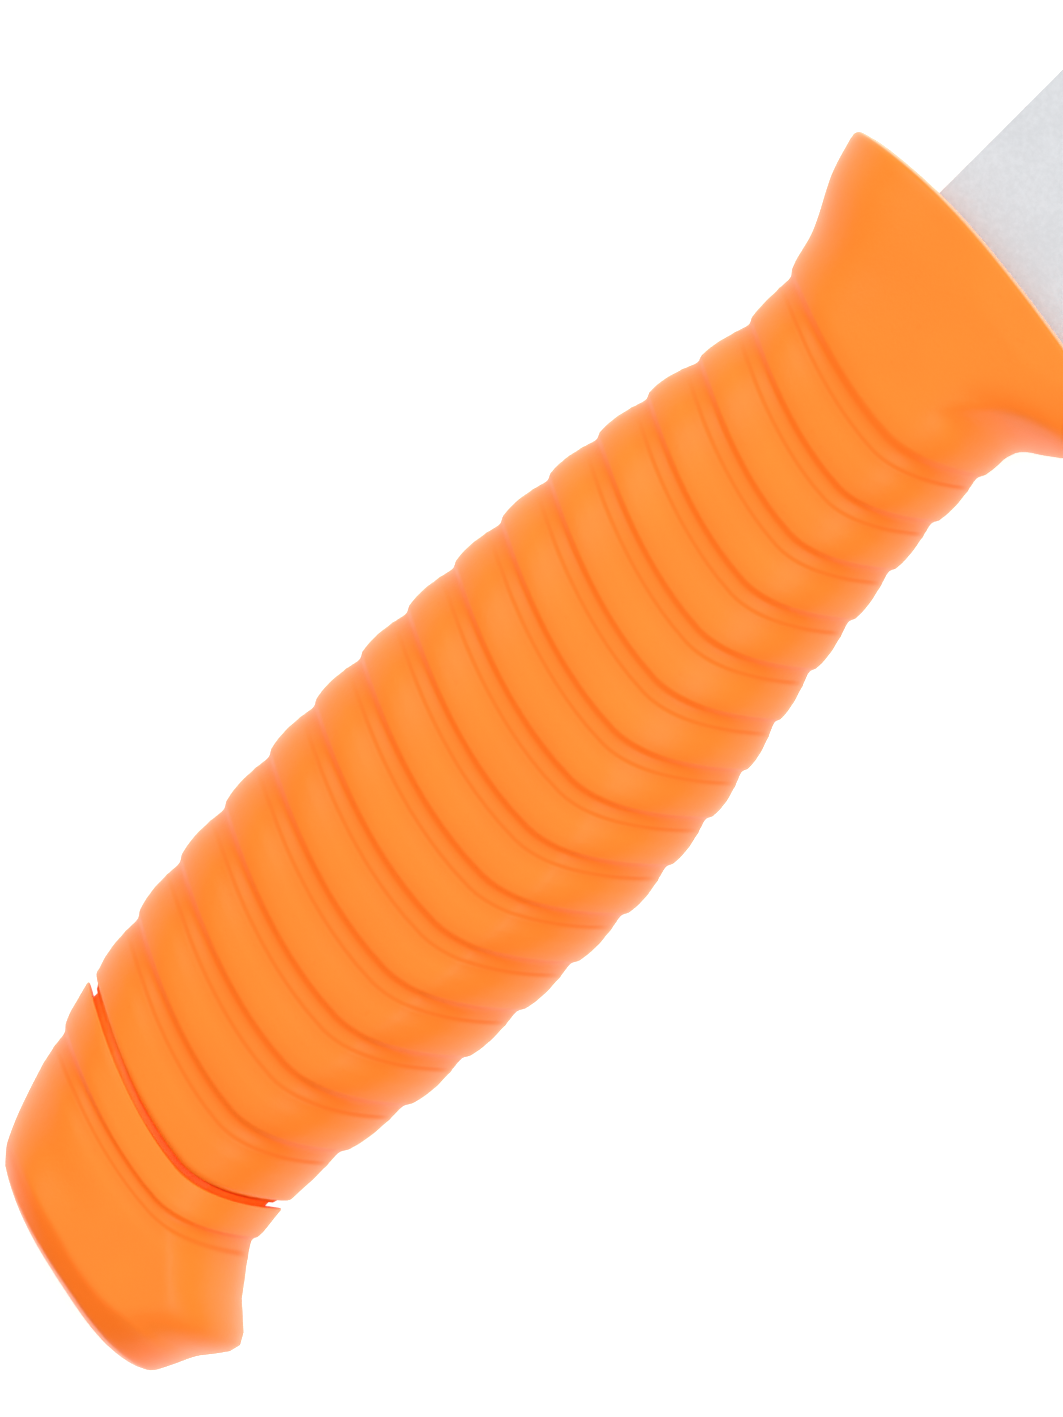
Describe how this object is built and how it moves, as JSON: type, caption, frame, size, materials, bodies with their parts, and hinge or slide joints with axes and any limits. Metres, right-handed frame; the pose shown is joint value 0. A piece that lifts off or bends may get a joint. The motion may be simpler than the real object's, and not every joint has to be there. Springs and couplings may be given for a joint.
{
  "type": "rigging knife",
  "caption": "Fixed-blade sailor's rigging knife with a ribbed moulded handle, a two-quillon guard, and a marlinspike that pulls out of the handle by its pommel cap.",
  "frame": {"origin": "middle of the knife's outline, on the plane that it lies on, with the marlinspike stowed", "axes": "+X along the handle to the blade's tip, +Y to the blade's spine, +Z out of the right side, away from the surface it lies on"},
  "size_m": [0.2197, 0.036, 0.024],
  "materials": {
    "blade_steel": "bead-blasted satin stainless steel",
    "spike_steel": "ground and polished stainless steel",
    "pins": "turned stainless steel",
    "grip": "safety-orange moulded elastomer, matt satin",
    "core": "hard moulded nylon in the grip's orange",
    "socket": "natural acetal tube",
    "seal": "black nitrile cord"
  },
  "bodies": {
    "handle": {"blade": "blade_steel", "grip_sleeve": "grip", "grip_core": "core", "tang_pin_front": "pins", "tang_pin_rear": "pins", "spike_socket": "socket"},
    "spike": {"marlinspike": "spike_steel", "cap_core": "core", "cap_cross_pin": "pins", "pommel_cap": "grip", "o_ring_front": "seal", "o_ring_rear": "seal"}
  },
  "joints": [
    {"name": "spike_pull", "type": "slide", "parent": "handle", "child": "spike", "axis": [-1, 0, 0], "range_m": [0, 0.075]}
  ]
}
